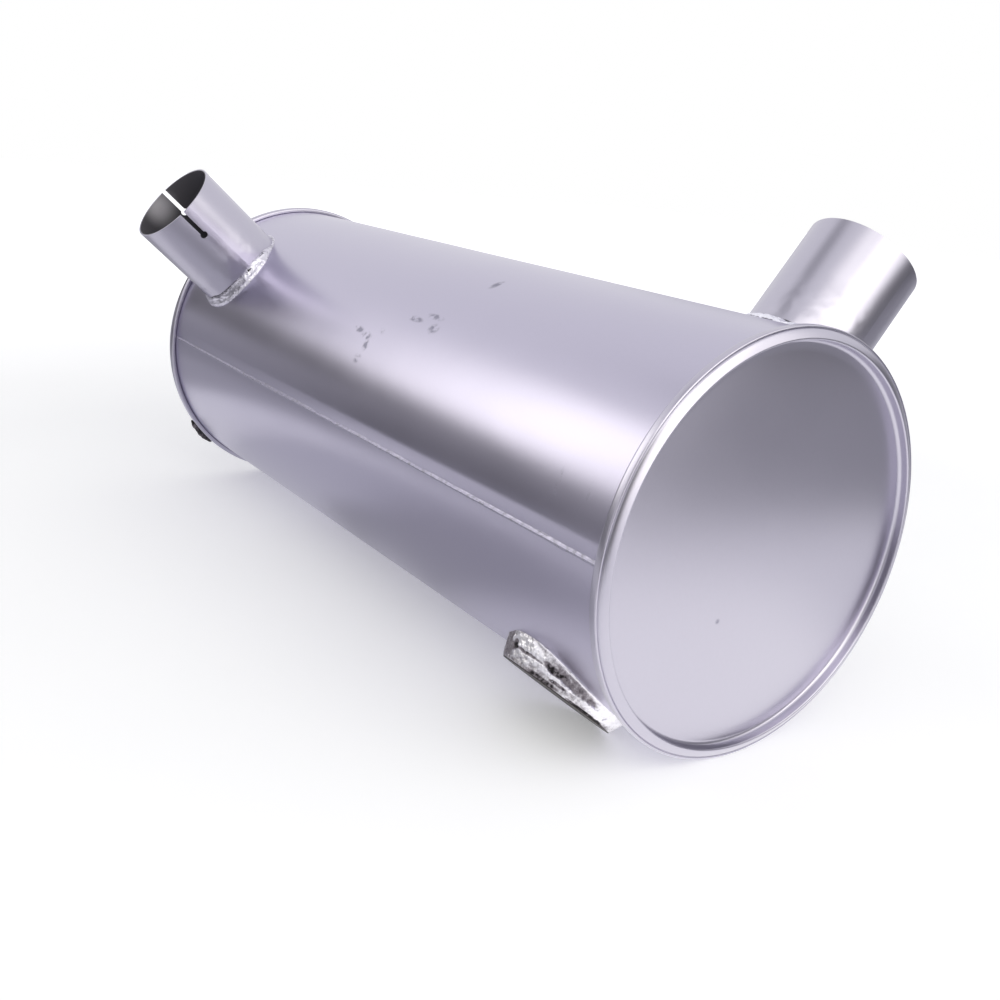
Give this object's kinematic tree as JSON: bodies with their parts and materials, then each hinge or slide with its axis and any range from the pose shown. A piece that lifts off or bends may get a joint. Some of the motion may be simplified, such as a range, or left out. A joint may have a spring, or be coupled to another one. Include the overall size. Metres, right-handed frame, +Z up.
{
  "type": "muffler",
  "caption": "Round exhaust muffler: drum with rolled-on end caps, a slotted inlet pipe near one end and a plain outlet pipe near the other, perforated tubes inside",
  "frame": {"origin": "On the axis of the drum, at the middle of its length", "axes": "+X along the drum from the inlet end to the outlet end; +Z up, with both pipes pointing upwards, the outlet towards +Y and the inlet towards -Y, and the drum turned so that its two rims and the lower end of the outlet pipe, on the -Y side, touch one level plane"},
  "size_m": [0.611, 0.3357, 0.3111],
  "materials": {
    "silver_paint": "satin silver heat-proof paint with a faint lavender cast",
    "painted_weld": "rough weld bead under the same thin silver paint",
    "bare_steel": "plain mild steel sheet and tube",
    "bare_weld": "bare weld bead"
  },
  "bodies": {
    "root": {"drum_shell": "silver_paint", "drum_seam_weld": "painted_weld", "front_end_cap": "silver_paint", "rear_end_cap": "silver_paint", "inlet_pipe": "silver_paint", "inlet_weld": "painted_weld", "inlet_end_plate": "bare_steel", "outlet_pipe": "silver_paint", "outlet_weld": "painted_weld", "outlet_foot_weld": "painted_weld", "outlet_end_plate": "painted_weld", "front_baffle": "bare_steel", "rear_baffle": "bare_steel", "front_baffle_tacks": "bare_weld", "rear_baffle_tacks": "bare_weld", "front_tube_welds": "bare_weld", "rear_tube_welds": "bare_weld", "transfer_tube_1": "bare_steel", "transfer_tube_2": "bare_steel", "transfer_tube_3": "bare_steel"}
  },
  "joints": []
}
